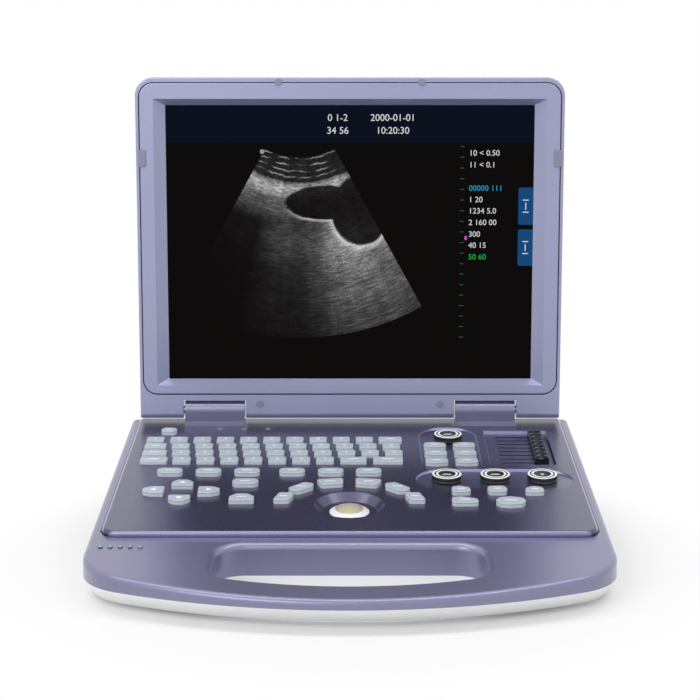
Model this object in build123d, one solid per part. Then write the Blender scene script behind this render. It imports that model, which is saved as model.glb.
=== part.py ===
"""Laptop-type ultrasound scanner: a wedge-shaped console with a carrying handle in its front edge,
a keyboard, knobs, gain sliders and a trackball on a raised panel, and a hinged lid with a 15-inch
screen.

Frame: X to the user's right, Y to the back, Z up. The origin is on the table, under the middle of
the open scanner. Everything on the sloping deck is placed by x, by its distance D in front of the
deck's rear edge, and by its height above the panel. Everything in the lid is placed by x, by its
height along the lid above the hinge axis, and by its distance in front of that axis.
"""

import os
from math import cos, radians, sin

from build123d import *

# ---------------------------------------------------------------- driving dimensions, mm and degrees
BASE_WIDTH = 373.0
DECK_SLOPE = 6.04
DECK_REAR = (0.0, 167.19, 65.5)   # the place on the panel's top where D and x are zero
RIM_DROP = 4.0                    # the shell's rim lies this far under the panel
REAR_LEDGE = 18.0                 # the shell reaches this far behind D = 0
FRONT_D = 355.4                   # the middle of the arched front edge
FRONT_RADIUS = 355.0              # radius of that arch
FRONT_CORNER = 50.0
REAR_CORNER = 5.0
PARTING_Z = 17.5                  # joint between the two shells
FOOT_HEIGHT = 3.0
WALL = 2.5

PANEL_WIDTH = 357.5
PANEL_REAR_D = -8.0               # the panel's rear and front edges
PANEL_FRONT_D = 247.0
PANEL_SKIN = 2.5                  # thickness of the panel's plate
PANEL_SEAT = 6.0                  # depth of the shell's pocket that carries the panel

HOLE_HALF_WIDTH = 94.0            # hand hole behind the handle bar
HOLE_REAR_D = 260.0
HOLE_SIDE_D = 312.0
HOLE_FRONT_D = 327.7
HOLE_CORNER = 20.0
HOLE_SKIRT_Z = 11.0               # the upper shell lines the hole down to here

LID_WIDTH = 352.0
LID_HEIGHT = 283.8
LID_LEAN = 1.6                    # backwards from upright, as set up for use
LID_FRONT = 6.0                   # front face, in front of the hinge axis
LID_BACK = -15.0
LID_FOOT = -7.0                   # lid's lower edge, below the hinge axis
HINGE_D = 6.0
HINGE_HEIGHT = 12.0               # hinge axis above the panel
HINGE_INNER_X = 87.5              # the lid's hinge notches
HINGE_OUTER_X = 140.0
NOTCH_TOP = 8.7
SHAFT_R = 3.0

SCREEN_WIDTH = 304.1              # visible picture of a 15-inch 4:3 screen
SCREEN_HEIGHT = 228.1
SCREEN_MIDDLE = 140.2             # above the hinge axis
SCREEN_RECESS = 7.0

KEY_TRAVEL = 1.5
KEY_GAP = 0.4                     # round each cap in its hole
LETTER_CROWN = 2.8                # letter keys stand this far above the panel
CONTROL_CROWN = 3.4               # all other keys
BALL_R = 17.0
BALL_X, BALL_D = -0.5, 194.0
WELL_R, WELL_FLOOR_R, WELL_DEPTH = 26.3, 20.2, 5.5    # the well round the ball
COLLAR_R = 14.9                   # the ball's collar
ARCH_DEPTH, ROW_DEPTH = 1.6, 2.2  # the two wells round the knobs
KNOB_R = 11.2
SLIDER_TRAVEL = 30.0
MAT_TOP = -6.6                    # keypad mat, below the panel's top
MAT_THICKNESS = 0.9
BOARD_THICKNESS = 1.6

# ---------------------------------------------------------------- places
SLOPE = radians(DECK_SLOPE)
LEAN = radians(LID_LEAN)
DECK = Plane(origin=DECK_REAR, x_dir=(1, 0, 0), z_dir=(0, -sin(SLOPE), cos(SLOPE)))
HINGE_POINT = DECK.from_local_coords((0, -HINGE_D, HINGE_HEIGHT))
LID = Plane(origin=HINGE_POINT, x_dir=(1, 0, 0), z_dir=(0, -cos(LEAN), sin(LEAN)))
HALF_WIDTH = BASE_WIDTH / 2
KNOBS = [(80.5, 47.0), (74.7, 141.0), (112.0, 141.0), (148.3, 141.0)]
BOARD_TOP = MAT_TOP - MAT_THICKNESS
BOARD_FOOT = BOARD_TOP - BOARD_THICKNESS
BALL_HEIGHT = -BALL_R - 0.1       # ball's centre, so that the ball ends just under the panel's top
SLIDER_COUNT = 8
SLIDER_PITCH = 8.8
SLIDER_X, SLIDER_D = 152.6, 34.8  # first slider cap, at its right-hand stop
SLIDER_TRAY = (112.0, 162.0, 27.0, 107.5)    # left, right, rear and front of the sliders' recess
TRAY_DEPTH = 3.0
POT_TOP = -TRAY_DEPTH - 1.5       # the slide potentiometers hang under the tray
ROLLER_R = 2.5
ROLLER_GAP = 0.15
JOURNAL_R = 1.2
ROLLER_EARS = (-14.5, 16.0)
ROLLER_D = BALL_D - BALL_R - ROLLER_GAP - ROLLER_R
HINGE_SIDES = (-1, 1)


def plan_y(d, h=-RIM_DROP):
    """World Y of a place on the deck."""
    return DECK_REAR[1] - d * cos(SLOPE) - h * sin(SLOPE)


def on_deck(shape):
    """Lay a shape drawn as x, minus D and height onto the sloping deck."""
    return DECK.location * shape


def on_lid(shape):
    """Set a shape drawn as x, height and distance to the front into the open lid."""
    return LID.location * shape


def slab(outline, low, high):
    """A plate of an outline between two heights."""
    return Pos(0, 0, low) * extrude(outline, high - low)


def outline(points, radii):
    """A closed outline with a radius at each corner."""
    return make_face(FilletPolyline(*points, radius=radii, close=True))


def block(x0, x1, y0, y1, z0, z1):
    """A plain block between two corners."""
    return Pos((x0 + x1) / 2, (y0 + y1) / 2, (z0 + z1) / 2) * Box(x1 - x0, y1 - y0, z1 - z0)


def disc(x, y, low, high, radius):
    """A round plate or post."""
    return Pos(x, y, (low + high) / 2) * Cylinder(radius, high - low)


def cross_rod(x0, x1, y, z, radius):
    """A round bar along X."""
    return Pos((x0 + x1) / 2, y, z) * Rot(0, 90, 0) * Cylinder(radius, x1 - x0)


def face_up(shape):
    """The topmost flat face of a shape, as drawn."""
    return shape.faces().sort_by(Axis.Z)[-1]


# ---------------------------------------------------------------- outlines of the base, from above
def base_outline(inset, front_inset):
    """The base from above: straight sides, small rear corners and an arched front."""
    half = HALF_WIDTH - inset
    rear = plan_y(-REAR_LEDGE) - inset
    front = plan_y(FRONT_D) + front_inset
    side = front + FRONT_RADIUS - (FRONT_RADIUS ** 2 - half ** 2) ** 0.5
    face = make_face([
        Line((half, side), (half, rear)),
        Line((half, rear), (-half, rear)),
        Line((-half, rear), (-half, side)),
        ThreePointArc((-half, side), (0, front), (half, side)),
    ])
    corners = face.vertices().sort_by(Axis.Y)
    face = fillet(corners[:2], FRONT_CORNER - inset)
    corners = face.vertices().sort_by(Axis.Y)
    return fillet(corners[-2:], REAR_CORNER - min(inset, REAR_CORNER - 1))


def hole_outline(grow):
    """The hand hole, from above: straight at the rear and the sides, arched along the bar."""
    half = HOLE_HALF_WIDTH + grow
    rear = plan_y(HOLE_REAR_D) + grow
    side = plan_y(HOLE_SIDE_D) - grow
    front = plan_y(HOLE_FRONT_D) - grow
    edges = [
        Line((half, side), (half, rear)),
        Line((half, rear), (-half, rear)),
        Line((-half, rear), (-half, side)),
        ThreePointArc((-half, side), (0, front), (half, side)),
    ]
    face = make_face(edges)
    return fillet(face.vertices(), HOLE_CORNER + grow)


def under_deck(height):
    """A block that fills all space below a height on the deck."""
    reach = 500.0
    return on_deck(block(-reach, reach, -reach, reach, height - reach, height))


def panel_outline(grow, rear_d=PANEL_REAR_D):
    """The raised panel: small rear corners, larger ones at the front."""
    half = PANEL_WIDTH / 2 + grow
    rear, front = grow - rear_d, -PANEL_FRONT_D - grow
    rear_corner, front_corner = max(4 + grow, 1), 12 + grow
    return outline([(-half, rear), (half, rear), (half, front), (-half, front)],
                   [rear_corner, rear_corner, front_corner, front_corner])


# ---------------------------------------------------------------- key outlines: x and minus D
def plain_key(x, d, width, depth, corner):
    """A key with four equal corners."""
    return Pos(x, -d) * RectangleRounded(width, depth, corner)


def letter_row(d, first_width, start, count, tail=()):
    """A row of the keyboard: one wide key at the left, a run of equal keys, then any wider ones."""
    left_edge, width, pitch, depth, corner = -166.2, 14.2, 18.95, 11.0, 1.6
    keys = [plain_key(left_edge + first_width / 2, d, first_width, depth, corner)]
    keys += [plain_key(start + width / 2 + i * pitch, d, width, depth, corner) for i in range(count)]
    keys += [plain_key((a + b) / 2, d, b - a, depth, corner) for a, b in tail]
    return keys


def dome_key(x, d, width, depth, turn):
    """An arrow or menu key: a straight side and a round one. turn 0 has the round side at the rear."""
    a, b = width / 2, depth / 2
    points = [(-a, -b), (a, -b), (a, 0.2 * b), (0.45 * a, b), (-0.45 * a, b), (-a, 0.2 * b)]
    return Pos(x, -d) * Rot(0, 0, turn) * outline(points, [1.2, 1.2, 3.4, 3.0, 3.0, 3.4])


def corner_key(points, corner, side=1):
    """A key of free form, from its corners; side -1 mirrors it about the ball."""
    placed = [(BALL_X + side * (x - BALL_X), -d) for x, d in points]
    return outline(placed, corner)


def ball_keys(side):
    """The three keys beside the ball, which follow an arch from the ball's rear to its side."""
    rear = [(-26.0, 149.2), (-5.2, 146.0), (-5.2, 158.2), (-21.5, 161.0)]
    middle = [(-46.8, 167.0), (-35.2, 155.0), (-27.6, 157.6), (-28.2, 164.4), (-37.8, 173.4), (-44.6, 173.0)]
    front = [(-57.2, 190.0), (-53.4, 177.0), (-43.4, 176.6), (-42.4, 182.0), (-45.6, 192.4), (-56.6, 192.8)]
    return [corner_key(rear, 2.6, side), corner_key(middle, 2.2, side), corner_key(front, 1.8, side)]


def dial_key(side, d):
    """A key under the first knob: tall at its outer end, narrow at its inner end."""
    outer, bend, inner = 20.8, 12.0, 2.8
    corners = [(outer, -4.6), (bend, -6.0), (inner, -3.6), (inner, 4.2), (bend, 5.8), (outer, 4.6)]
    return outline([(KNOBS[0][0] + side * x, -(d + y)) for x, y in corners], 2.9)


KEYS = {
    "letter_keys_1": letter_row(54.5, 14.2, -146.9, 9, [(23.3, 42.4)]),
    "letter_keys_2": letter_row(70.5, 17.4, -144.2, 10),
    "letter_keys_3": letter_row(86.5, 19.3, -142.5, 10),
    "letter_keys_4": letter_row(102.5, 21.5, -140.5, 7, [(-7.8, 13.2), (18.2, 42.0)]),
    "function_keys": [plain_key(x, 129.5, 20.0, 11.6, 4.8) for x in (-140, -110, -80, -45, -15, 14.5)],
    "power_key": [plain_key(-150.0, 33.0, 13.0, 10.4, 4.4)],
    "arrow_key_up": [dome_key(-127.6, 156.0, 16.5, 12.5, 0)],
    "arrow_key_down": [dome_key(-127.6, 188.0, 16.5, 12.5, 180)],
    "arrow_key_left": [dome_key(-148.6, 171.0, 14.0, 16.4, 90)],
    "arrow_key_right": [dome_key(-106.5, 171.0, 14.0, 16.4, -90)],
    "menu_keys": [plain_key(-80.0, 153.0, 20.0, 11.6, 4.8), dome_key(-81.0, 186.0, 18.8, 14.0, 0)],
    "ball_keys_left": ball_keys(1),
    "ball_keys_right": ball_keys(-1),
    "dial_keys": [dial_key(side, d) for side in (-1, 1) for d in (69.5, 88.0, 106.5)],
    "image_keys": [
        corner_key([(76.8, 165), (83, 162.5), (90.8, 166), (91.4, 175), (77, 176)], 3.4),
        corner_key([(105, 162.8), (117, 162.8), (119, 168), (118, 175.4), (104.8, 175.4), (103.8, 168)], 3.4),
        corner_key([(132.4, 168), (139, 163.2), (146, 166), (147, 175.6), (132.6, 176.6)], 3.4),
        corner_key([(75.6, 187), (83, 185.2), (95, 189.5), (96, 197.5), (76, 198)], 3.2),
        corner_key([(111, 187.2), (119, 185), (128.4, 187.2), (131, 193), (128.4, 199.6), (119, 201.4),
                    (111, 199.6), (108, 193)], 4.4),
    ],
}


def key_caps(outlines, crown):
    """Key caps with rounded top edges, each with a lip that holds it under the panel."""
    caps = []
    lip_width, lip_gap, lip_height, foot = 0.8, 0.4, 1.0, 4.6
    for shape in outlines:
        cap = slab(shape, -foot, crown)
        cap = fillet(face_up(cap).edges(), 0.8)
        lip_top = -PANEL_SKIN - lip_gap
        caps.append(on_deck(cap + slab(offset(shape, lip_width), lip_top - lip_height, lip_top)))
    return caps


# ---------------------------------------------------------------- shells of the base
PROBE_PLACES = [72.0, 132.0]      # D of the two probe sockets in the left wall
PROBE_SIZE = (50.0, 15.0)         # along the wall, and upright
PROBE_Z = 28.0
REAR_SOCKETS = [(-146.0, 14.0, 12.0), (-118.0, 16.0, 7.4), (-92.0, 16.0, 7.4), (-62.0, 32.0, 12.5)]
REAR_SOCKET_Z = 28.0
BATTERY_LIGHTS = [-175.7 + 7.0 * i for i in range(5)]
BATTERY_LIGHT_D = 266.0
STATUS_LIGHTS = [-108.5, -88.6, -68.5]
STATUS_LIGHT_D = 19.0
BATTERY_LIGHT_R = 1.65
STATUS_LIGHT_R = 1.6
SCREWS = [(-160.0, -1.0), (160.0, -1.0), (-166.0, 250.0), (166.0, 250.0), (-60.0, 245.0), (60.0, 245.0)]
SCREW_R, SCREW_HEAD_R = 1.5, 3.0
SCREW_SEAT = 4.8                  # height of the face that the heads bear on
SCREW_FOOT = 6.0                  # lower end of the screws' bosses
BRACKET_X = (100.0, 128.0)        # the two ears of each hinge bracket
EAR = 2.5                         # their thickness
ARM_X = (146.0, 156.0)            # the lid's arm beside them
EYE_R = 4.3                       # its eye round the shaft
FOOT_PLACES = [(-150.0, 26.0), (150.0, 26.0), (-140.0, 282.0), (140.0, 282.0)]
BATTERY_BAY = (62.0, 168.0, 120.0, 228.0)    # left, right, rear D and front D
SPEAKERS = (-148.0, 44.0)         # x of the two loudspeakers, both at SPEAKER_D
SPEAKER_D = 205.0


def vent_slots(x0, count, pitch, y, low, high, depth):
    """Tools for a row of upright ventilation slots in the rear wall."""
    return [block(x0 + i * pitch, x0 + i * pitch + 2.6, y, y + depth, low, high) for i in range(count)]


def upper_shell():
    """The purple shell: walls, rim, the seat of the panel and the lined hand hole."""
    solid = slab(base_outline(0, 0), PARTING_Z, 90) & under_deck(-RIM_DROP)
    lining = slab(hole_outline(WALL), HOLE_SKIRT_Z, 60) & under_deck(-RIM_DROP)
    hole = slab(hole_outline(0), 0, 90)
    outside = solid + lining - hole
    top = outside.faces().filter_by(lambda f: abs(f.normal_at().dot(DECK.z_dir) - 1) < 1e-6)[0]
    outside = fillet(top.outer_wire().edges(), 3.8)
    top = outside.faces().filter_by(lambda f: abs(f.normal_at().dot(DECK.z_dir) - 1) < 1e-6)[0]
    outside = fillet(top.inner_wires()[0].edges(), 5.0)

    cavity = slab(base_outline(WALL, WALL), 0, 90) & under_deck(-RIM_DROP - 2 * WALL + 0.5)
    cavity -= slab(hole_outline(WALL), 0, 90)
    bosses = [disc(x, plan_y(d), SCREW_FOOT, 90, 3.6) for x, d in SCREWS]
    shell = outside - cavity + [boss & under_deck(-RIM_DROP - 1) for boss in bosses]

    seat = on_deck(slab(panel_outline(1.0), -PANEL_SEAT, 10))
    window = on_deck(slab(panel_outline(-5.5, 0), -30, 10))
    shell -= [seat, window]
    return shell - shell_openings() - bracket_slots()


def bracket_slots():
    """Tools for the slots through which the hinge brackets' ears rise out of the base."""
    slots = []
    for side in HINGE_SIDES:
        for x in BRACKET_X:
            x0, x1 = sorted((side * (x - 0.5), side * (x + EAR + 0.5)))
            slots.append(on_deck(block(x0, x1, -HINGE_D - 4.6, -HINGE_D + 4.6, -9.2, 6)))
    return slots


def shell_openings():
    """Tools for what passes through the upper shell's walls and rim, and the holes of the screws."""
    gap = 1.5
    long, tall = PROBE_SIZE[0] + 2 * gap, PROBE_SIZE[1] + 2 * gap
    tools = [block(-200, -170, plan_y(d) - long / 2, plan_y(d) + long / 2, PROBE_Z - tall / 2,
                   PROBE_Z + tall / 2) for d in PROBE_PLACES]
    rear = plan_y(-REAR_LEDGE)
    tools += [socket_block(x, wide + 1, tall + 1, rear - 8, rear + 5) for x, wide, tall in REAR_SOCKETS]
    tools += vent_slots(-19.2, 8, 5.1, rear - 8, 19, 47, 20)
    tools += vent_slots(44.0, 8, 5.1, rear - 8, 19, 47, 20)
    side_vents = [plan_y(60 + 7 * i) for i in range(12)]
    tools += [block(170, 200, y, y + 3, 22, 36) for y in side_vents]
    lens_hole_r = BATTERY_LIGHT_R + 0.1
    tools += [on_deck(disc(x, -BATTERY_LIGHT_D, -20, 10, lens_hole_r)) for x in BATTERY_LIGHTS]
    tools += [disc(x, plan_y(d), 0, 16, SCREW_R + 0.05) for x, d in SCREWS]
    return tools


def lower_shell():
    """The white tub: walls that draw in towards the table, most of all under the handle bar."""
    top_inset, foot_inset = 0.6, 3.0
    top_front, foot_front = 1.2, 20.0
    outside = loft([Pos(0, 0, FOOT_HEIGHT) * base_outline(foot_inset, foot_front),
                    Pos(0, 0, PARTING_Z) * base_outline(top_inset, top_front)], ruled=True)
    outside = fillet(outside.faces().sort_by(Axis.Z)[0].edges(), 2.0)
    floor_top = FOOT_HEIGHT + WALL
    handle_floor = 8.0
    inside = loft([Pos(0, 0, floor_top) * base_outline(foot_inset + WALL, foot_front + WALL),
                   Pos(0, 0, PARTING_Z) * base_outline(top_inset + WALL, top_front + 2 * WALL)], ruled=True)
    rear_part = block(-200, 200, plan_y(HOLE_REAR_D) + WALL, 300, 0, 60)
    front_part = block(-200, 200, -300, plan_y(HOLE_REAR_D) + WALL, handle_floor, 60)
    room = inside & rear_part
    handle_room = inside & front_part
    lining = slab(hole_outline(WALL + 0.2), 0, HOLE_SKIRT_Z)
    shell = outside - room - (handle_room - lining)
    shell -= slab(hole_outline(0), 0, 60)
    shell -= slab(hole_outline(WALL + 0.2), HOLE_SKIRT_Z, 60)
    return shell - lower_openings()


def lower_openings():
    """Tools for the battery bay, the speaker grilles and the screw holes in the floor."""
    x0, x1, rear, front = BATTERY_BAY
    tools = [block(x0 - 0.4, x1 + 0.4, plan_y(front) - 0.4, plan_y(rear) + 0.4, 0, 10)]
    for middle in SPEAKERS:
        for i in range(6):
            x = middle - 9.9 + 3.6 * i
            tools.append(block(x, x + 1.8, plan_y(SPEAKER_D + 10), plan_y(SPEAKER_D - 10), 0, 10))
    tools += [disc(x, plan_y(d), 0, 20, SCREW_R + 0.2) for x, d in SCREWS]
    tools += [disc(x, plan_y(d), 0, SCREW_SEAT, SCREW_HEAD_R + 0.3) for x, d in SCREWS]
    return tools


def control_panel():
    """The raised panel: plate and skirt, ball well, slider tray, knob wells and all key holes."""
    plate = slab(panel_outline(0), -PANEL_SEAT, 0)
    plate = fillet(face_up(plate).edges(), 2.6)
    plate -= slab(panel_outline(-4.0), -PANEL_SEAT, -PANEL_SKIN)
    return on_deck(((plate + panel_cups()) - panel_wells()) - panel_holes()) - bracket_slots()


def panel_cups():
    """What hangs under the plate: the floors of the ball well, the slider tray and the knobs' wells."""
    left, right, rear, front = SLIDER_TRAY
    well = Pos(BALL_X, -BALL_D, -WELL_DEPTH / 2 - 1) * Cone(WELL_FLOOR_R + 2, WELL_R + 1.5, WELL_DEPTH + 1.5)
    tray = block(left - 3, right + 3, -front - 3, -rear + 3, -TRAY_DEPTH - 1.5, -1)
    arch = slab(arch_outline(1), -ARCH_DEPTH - 1.2, -1)
    row = slab(row_outline(1), -ROW_DEPTH - 1.2, -1) & block(0, HALF_WIDTH, -158, 0, -10, 0)
    return [well, tray, arch, row]


def panel_wells():
    """Hollows in the top of the panel."""
    left, right, rear, front = SLIDER_TRAY
    well = Pos(BALL_X, -BALL_D, -WELL_DEPTH / 2) * Cone(WELL_FLOOR_R, WELL_R, WELL_DEPTH)
    tray = block(left - 1.2, right + 1.2, -front - 1.2, -rear + 1.2, -TRAY_DEPTH, 5)
    tray = chamfer(tray.faces().sort_by(Axis.Z)[0].edges(), TRAY_DEPTH - 0.6, 1.2)
    ball_x, ball_y = BALL_X, -BALL_D
    mouth = disc(ball_x, ball_y, -20, 5, COLLAR_R + 0.4)

    arch_tool = ramp_well(arch_outline(0), 17.0, 112.0, ARCH_DEPTH)
    row_tool = ramp_well(row_outline(0), 117.0, 160.0, ROW_DEPTH)
    return [well, tray, mouth, arch_tool, row_tool]


def arch_outline(grow):
    """The well behind and beside the first knob: an arch with straight sides."""
    x, d = KNOBS[0]
    half, rear, front = 24.0 + grow, d - 6, 116.0 + grow
    side_walls = Pos(x, -(rear + front) / 2) * Rectangle(2 * half, front - rear)
    return Pos(x, -rear) * Circle(half) + side_walls


def row_outline(grow):
    """The long well with round ends behind the other three knobs."""
    (x0, d), (x1, _) = KNOBS[1], KNOBS[3]
    radius = 24.0 + grow
    return Pos((x0 + x1) / 2, -d) * SlotOverall(x1 - x0 + 2 * radius, 2 * radius)


def ramp_well(face, rear, front, depth):
    """A shallow well with a sloping wall, deepest at its rear, whose floor ramps up to its front."""
    reach = 60.0
    well = slab(face, -depth, 3)
    well = chamfer(well.faces().sort_by(Axis.Z)[0].edges(), 0.75 * depth)
    ramp = make_face(Polyline((-rear, -depth - 1), (-rear, -depth), (-front, 0.02), (-front - reach, 0.02),
                              (-front - reach, -depth - 1), close=True))
    return well - Pos(-HALF_WIDTH, 0, 0) * extrude(Plane.YZ.location * ramp, BASE_WIDTH)


def panel_holes():
    """Tools for the holes of keys, lights, knobs and sliders."""
    tools = [slab(offset(shape, KEY_GAP), -20, 6) for group in KEYS.values() for shape in group]
    tools += [disc(x, -STATUS_LIGHT_D, -20, 6, STATUS_LIGHT_R + 0.1) for x in STATUS_LIGHTS]
    tools += [disc(x, -d, -20, 6, 3.4) for x, d in KNOBS]
    for i in range(SLIDER_COUNT):
        y = -(SLIDER_D + i * SLIDER_PITCH)
        tools.append(block(SLIDER_X - SLIDER_TRAVEL - 2.2, SLIDER_X + 2.2, y - 0.9, y + 0.9, -20, 6))
    return tools


# ---------------------------------------------------------------- controls
def slider_cap(index):
    """One gain slider: a ridged black cap on a flat stem that runs in the tray's slot."""
    y = -(SLIDER_D + index * SLIDER_PITCH)
    low, high = -TRAY_DEPTH + 0.4, 3.0
    body = block(-5.4, 5.4, -3.7, 3.7, low, high)
    body = fillet(face_up(body).edges(), 0.9)
    finger_dip = Pos(0, 0, high + 4.6) * Rot(90, 0, 0) * Cylinder(6.2, 20)
    ridges = [block(x - 0.25, x + 0.25, -5, 5, high - 0.5, high + 1) for x in (-4.2, 4.2)]
    stem = block(-1.8, 1.8, -0.6, 0.6, POT_TOP - 2.0, low + 0.5)
    return on_deck(Pos(SLIDER_X, y, 0) * (body - finger_dip - ridges + stem))


def knob(x, d):
    """A turned knob with a raised rim, a dished middle, a flared skirt and a fluted grip."""
    top, foot = 4.6, 0.5
    profile = make_face(Polyline(
        (0, foot + 2.0), (SHAFT_R + 0.06, foot + 2.0), (SHAFT_R + 0.06, foot), (KNOB_R + 0.6, foot),
        (KNOB_R + 0.3, foot + 1.2), (KNOB_R, top - 0.5), (KNOB_R - 0.5, top), (KNOB_R - 1.9, top),
        (KNOB_R - 2.2, top - 0.5), (KNOB_R - 3.2, top - 0.5), (KNOB_R - 3.5, top - 0.1),
        (KNOB_R - 4.9, top - 0.1), (KNOB_R - 5.6, top - 0.9), (0, top - 1.1), close=True))
    body = revolve(Plane.XZ.location * profile, Axis.Z)
    flutes = [Pos(0, 0, foot + 1.7) * Rot(0, 0, 15 * i) * Pos(KNOB_R + 0.9, 0, 0) * Cylinder(0.9, 2.4)
              for i in range(24)]
    return on_deck(Pos(x, -d, 0) * (body - flutes))


def encoders():
    """Four rotary encoders under the key board, with their shafts up into the knobs."""
    bodies = []
    for x, d in KNOBS:
        case = block(x - 6, x + 6, -d - 6, -d + 6, BOARD_FOOT - 6.5, BOARD_FOOT)
        shaft = disc(x, -d, BOARD_FOOT - 0.5, 2.4, SHAFT_R)
        bodies.append(on_deck(case + shaft))
    return bodies


def slider_pots():
    """Eight slide potentiometers side by side under the tray."""
    pots = []
    for i in range(SLIDER_COUNT):
        y = -(SLIDER_D + i * SLIDER_PITCH)
        case = block(SLIDER_X - SLIDER_TRAVEL - 7, SLIDER_X + 7, y - 4, y + 4, POT_TOP - 8, POT_TOP)
        slot = block(SLIDER_X - SLIDER_TRAVEL - 3, SLIDER_X + 3, y - 1, y + 1, POT_TOP - 4, POT_TOP + 1)
        pots.append(on_deck(case - slot))
    return pots


def trackball():
    return on_deck(Pos(BALL_X, -BALL_D, BALL_HEIGHT) * Sphere(BALL_R))


def trackball_ring():
    """The white collar that keeps the ball in; it turns out for cleaning."""
    mouth_r, rise, foot, tail = 10.9, -3.3, -WELL_DEPTH, -7.2
    profile = make_face(Polyline((0, rise), (0, tail), (COLLAR_R, tail), (COLLAR_R, foot), (mouth_r, rise),
                                 close=True))
    ball_room = Pos(0, 0, BALL_HEIGHT) * Sphere(BALL_R + 0.35)
    return on_deck(Pos(BALL_X, -BALL_D, 0) * (revolve(Plane.XZ.location * profile, Axis.Z) - ball_room))


def trackball_cup():
    """The cup round the ball, open where the roller touches it, with two ears that carry the roller."""
    outer, inner, top, floor = BALL_R + 3.2, BALL_R + 1.4, -WELL_DEPTH - 2.0, BALL_HEIGHT - BALL_R - 2.0
    low, high = BALL_HEIGHT - 4.6, BALL_HEIGHT + 4.6
    roller_y = BALL_D - ROLLER_D
    left, right = ROLLER_EARS
    cup = disc(0, 0, floor, top, outer)
    cup -= block(-14, 14, BALL_R - 6, BALL_R + 8, BALL_HEIGHT - 4, BALL_HEIGHT + 4)
    cup += [block(x, x + 2, 9, roller_y + 3.6, low, high) for x in (left, right)]
    cup -= disc(0, 0, floor + 1.4, top + 1, inner)
    cup -= cross_rod(left - 1, left + 3, roller_y, BALL_HEIGHT, JOURNAL_R + 0.05)
    cup -= cross_rod(right - 1, right + 3, roller_y, BALL_HEIGHT, ROLLER_R + 0.05)
    return on_deck(Pos(BALL_X, -BALL_D, 0) * cup)


def trackball_roller():
    """The steel roller that the ball turns, with its journal and its slotted code wheel."""
    roller = cross_rod(-12, 22, 0, 0, ROLLER_R) + cross_rod(-15, -12, 0, 0, JOURNAL_R)
    wheel = cross_rod(22, 23.2, 0, 0, 7.0)
    cuts = [Rot(45 * i, 0, 0) * block(21, 25, -0.7, 0.7, 4.0, 6.0) for i in range(8)]
    return on_deck(Pos(BALL_X, -ROLLER_D, BALL_HEIGHT) * (roller + wheel - cuts))


def board_cutouts(height_low, height_high):
    """What the mat and the key board leave room for."""
    left, right, rear, front = SLIDER_TRAY
    tools = [disc(BALL_X, -BALL_D, height_low, height_high, BALL_R + 6.5),
             block(left - 4, right + 4, -front - 4, -rear + 4, height_low, height_high)]
    tools += [disc(x, -d, height_low, height_high, SHAFT_R + 0.6) for x, d in KNOBS]
    tools.append(block(12, 30, -ROLLER_D - 9, -ROLLER_D + 9, height_low, height_high))
    return tools


def keypad_mat():
    """The silicone mat: a sheet with a low dome under each key."""
    sheet = slab(panel_outline(-7.5, 0), BOARD_TOP, MAT_TOP) - board_cutouts(-20, 5)
    domes = [disc(shape.center().X, shape.center().Y, MAT_TOP - 0.1, MAT_TOP + 0.2, 2.2)
             for group in KEYS.values() for shape in group]
    return on_deck(sheet + domes) - bracket_slots()


def key_board():
    """The key board under the mat, with the connectors of its flat cables."""
    board = slab(panel_outline(-7.5, 0), BOARD_FOOT, BOARD_TOP) - board_cutouts(-20, 5)
    plugs = [block(x, x + 26, -24, -18, BOARD_FOOT - 3, BOARD_FOOT) for x in (-60, -20, 20)]
    return on_deck(board + plugs) - bracket_slots()


def indicator_lenses():
    """Light pipes: three status lights on the panel and five battery lights on the shell."""
    rim = -RIM_DROP
    status = [disc(x, -STATUS_LIGHT_D, -5.4, 0.15, STATUS_LIGHT_R) for x in STATUS_LIGHTS]
    battery = [disc(x, -BATTERY_LIGHT_D, rim - 5.2, rim + 0.1, BATTERY_LIGHT_R) for x in BATTERY_LIGHTS]
    return [on_deck(lens) for lens in status + battery]


# ---------------------------------------------------------------- inside the base
MAIN_BOARD_Z = 9.0
BEAM_BOARD_Z = 22.0
FAN_SIZE = 40.0
FAN_PLACE = Pos(0, plan_y(-REAR_LEDGE) - WALL - 2.0, 33.0)
FAN_HUB_R = 8.5
FAN_PIN_R = 1.5


def board_with_chips(x0, x1, rear, front, z, chips):
    """A circuit board with its larger chips, given by x, D, width, depth and height."""
    board = block(x0, x1, plan_y(front), plan_y(rear), z, z + BOARD_THICKNESS)
    top = z + BOARD_THICKNESS
    parts = [block(x, x + w, plan_y(d) - l, plan_y(d), top, top + h) for x, d, w, l, h in chips]
    return board + parts


def main_board():
    """The main board on four posts, with its processor and its larger chips."""
    chips = [(24, 52, 26, 26, 2.4), (-60, 60, 34, 34, 3), (-110, 50, 22, 22, 2.4), (-110, 90, 26, 14, 2)]
    board = board_with_chips(-150, 56, 28, 150, MAIN_BOARD_Z, chips)
    return board + standoffs(-150, 56, 28, 150, FOOT_HEIGHT + WALL, MAIN_BOARD_Z)


def beamformer_board():
    """The beamformer board above it, with three rows of equal chips, on four spacers."""
    chips = [(-150 + 24 * i, d, 16, 16, 2) for i in range(6) for d in (52, 84, 116)]
    board = board_with_chips(-146, 2, 40, 146, BEAM_BOARD_Z, chips)
    return board + standoffs(-146, 2, 40, 146, MAIN_BOARD_Z + BOARD_THICKNESS, BEAM_BOARD_Z)


def standoffs(x0, x1, rear, front, low, high):
    """Four round spacers under a board's corners."""
    inset = 6
    return [disc(x, y, low, high, 2.8)
            for x in (x0 + inset, x1 - inset) for y in (plan_y(rear) - inset, plan_y(front) + inset)]


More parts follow.
